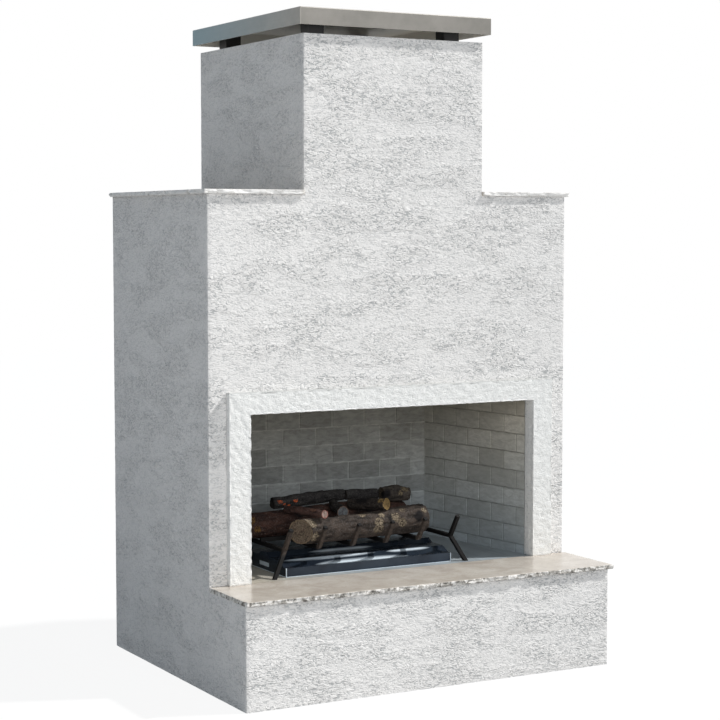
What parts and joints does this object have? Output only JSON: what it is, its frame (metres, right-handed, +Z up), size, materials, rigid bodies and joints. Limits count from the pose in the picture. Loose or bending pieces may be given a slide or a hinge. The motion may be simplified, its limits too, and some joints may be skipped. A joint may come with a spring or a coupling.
{
  "type": "outdoor fireplace",
  "caption": "Free-standing stucco outdoor gas fireplace with raised stone hearth, brick-lined firebox, log set on a grate, chimney and sheet-metal cap.",
  "frame": {"origin": "middle of the footprint's bounding box, on the ground", "axes": "+X to the right seen from the front, -Y to the front (hearth and opening), +Z up"},
  "size_m": [1.246, 0.9984, 1.963],
  "materials": {
    "stucco": "matte white skip-trowel stucco",
    "fine_stucco": "matte white fine sand-float stucco",
    "cement_board": "matte grey cement board",
    "galvanised_steel": "dull galvanised sheet",
    "beige_stone": "honed beige limestone, rough front edge",
    "refractory": "matte grey moulded refractory brick",
    "black_paint": "satin black paint",
    "grate_black": "matte black heat-proof paint",
    "stainless_steel": "polished stainless sheet",
    "brass": "plain brass",
    "chrome_plate": "bright chrome plate",
    "ceramic_log": "matte painted refractory bark"
  },
  "bodies": {
    "walls": {"board_back": "cement_board", "board_chimney_back": "cement_board", "board_chimney_front": "cement_board", "board_chimney_left": "cement_board", "board_chimney_right": "cement_board", "board_front_left": "cement_board", "board_front_lower": "cement_board", "board_front_right": "cement_board", "board_front_upper": "cement_board", "board_hearth_front": "cement_board", "board_hearth_left": "cement_board", "board_hearth_right": "cement_board", "board_hearth_top": "cement_board", "board_left": "cement_board", "board_right": "cement_board", "board_shoulder_left": "cement_board", "board_shoulder_right": "cement_board", "burner_pan": "stainless_steel", "burner_tube": "stainless_steel", "cap_legs": "black_paint", "cap_pan": "galvanised_steel", "chimney_top_plate": "galvanised_steel", "coping_left": "beige_stone", "coping_right": "beige_stone", "firebox_shell": "galvanised_steel", "flue_pipe": "galvanised_steel", "frame_back": "galvanised_steel", "frame_chimney": "galvanised_steel", "frame_front": "galvanised_steel", "frame_hearth": "galvanised_steel", "frame_left": "galvanised_steel", "frame_right": "galvanised_steel", "gas_line": "black_paint", "gas_supply_stub": "black_paint", "hearth_slab": "beige_stone", "hood_back": "galvanised_steel", "hood_collar": "galvanised_steel", "hood_front": "galvanised_steel", "hood_left": "galvanised_steel", "hood_right": "galvanised_steel", "lining_back": "refractory", "lining_floor": "refractory", "lining_left": "refractory", "lining_right": "refractory", "stucco_coat": "stucco", "surround_head": "fine_stucco", "surround_left": "fine_stucco", "surround_right": "fine_stucco", "valve_body": "brass", "valve_flange": "chrome_plate"},
    "grate": {"log_grate": "grate_black"},
    "valve_spindle": {"valve_stem": "brass"},
    "log_rear": {"log_rear": "ceramic_log"},
    "log_front": {"log_front": "ceramic_log"},
    "log_top_left": {"log_top_left": "ceramic_log"},
    "log_top_middle": {"log_top_middle": "ceramic_log"},
    "log_top_right": {"log_top_right": "ceramic_log"},
    "branch_left": {"branch_left": "ceramic_log"},
    "branch_middle": {"branch_middle": "ceramic_log"},
    "branch_right": {"branch_right": "ceramic_log"}
  },
  "joints": [
    {"name": "valve_turn", "type": "hinge", "parent": "walls", "child": "valve_spindle", "pos_m": [0.5835, -0.06325, 0.2], "axis": [1, 0, 0], "range_deg": [0, 90]},
    {"name": "grate_lift", "type": "slide", "parent": "walls", "child": "grate", "axis": [0, 0, 1], "range_m": [0, 0.05]},
    {"name": "log_rear_lift", "type": "slide", "parent": "grate", "child": "log_rear", "axis": [0, 0, 1], "range_m": [0, 0.05]},
    {"name": "log_front_lift", "type": "slide", "parent": "log_rear", "child": "log_front", "axis": [0, 0, 1], "range_m": [0, 0.05]},
    {"name": "log_top_left_lift", "type": "slide", "parent": "log_rear", "child": "log_top_left", "axis": [0, 0, 1], "range_m": [0, 0.05]},
    {"name": "log_top_middle_lift", "type": "slide", "parent": "log_rear", "child": "log_top_middle", "axis": [0, 0, 1], "range_m": [0, 0.05]},
    {"name": "log_top_right_lift", "type": "slide", "parent": "log_rear", "child": "log_top_right", "axis": [0, 0, 1], "range_m": [0, 0.05]},
    {"name": "branch_left_lift", "type": "slide", "parent": "log_front", "child": "branch_left", "axis": [0, 0, 1], "range_m": [0, 0.05]},
    {"name": "branch_middle_lift", "type": "slide", "parent": "log_front", "child": "branch_middle", "axis": [0, 0, 1], "range_m": [0, 0.05]},
    {"name": "branch_right_lift", "type": "slide", "parent": "log_front", "child": "branch_right", "axis": [0, 0, 1], "range_m": [0, 0.05]}
  ]
}
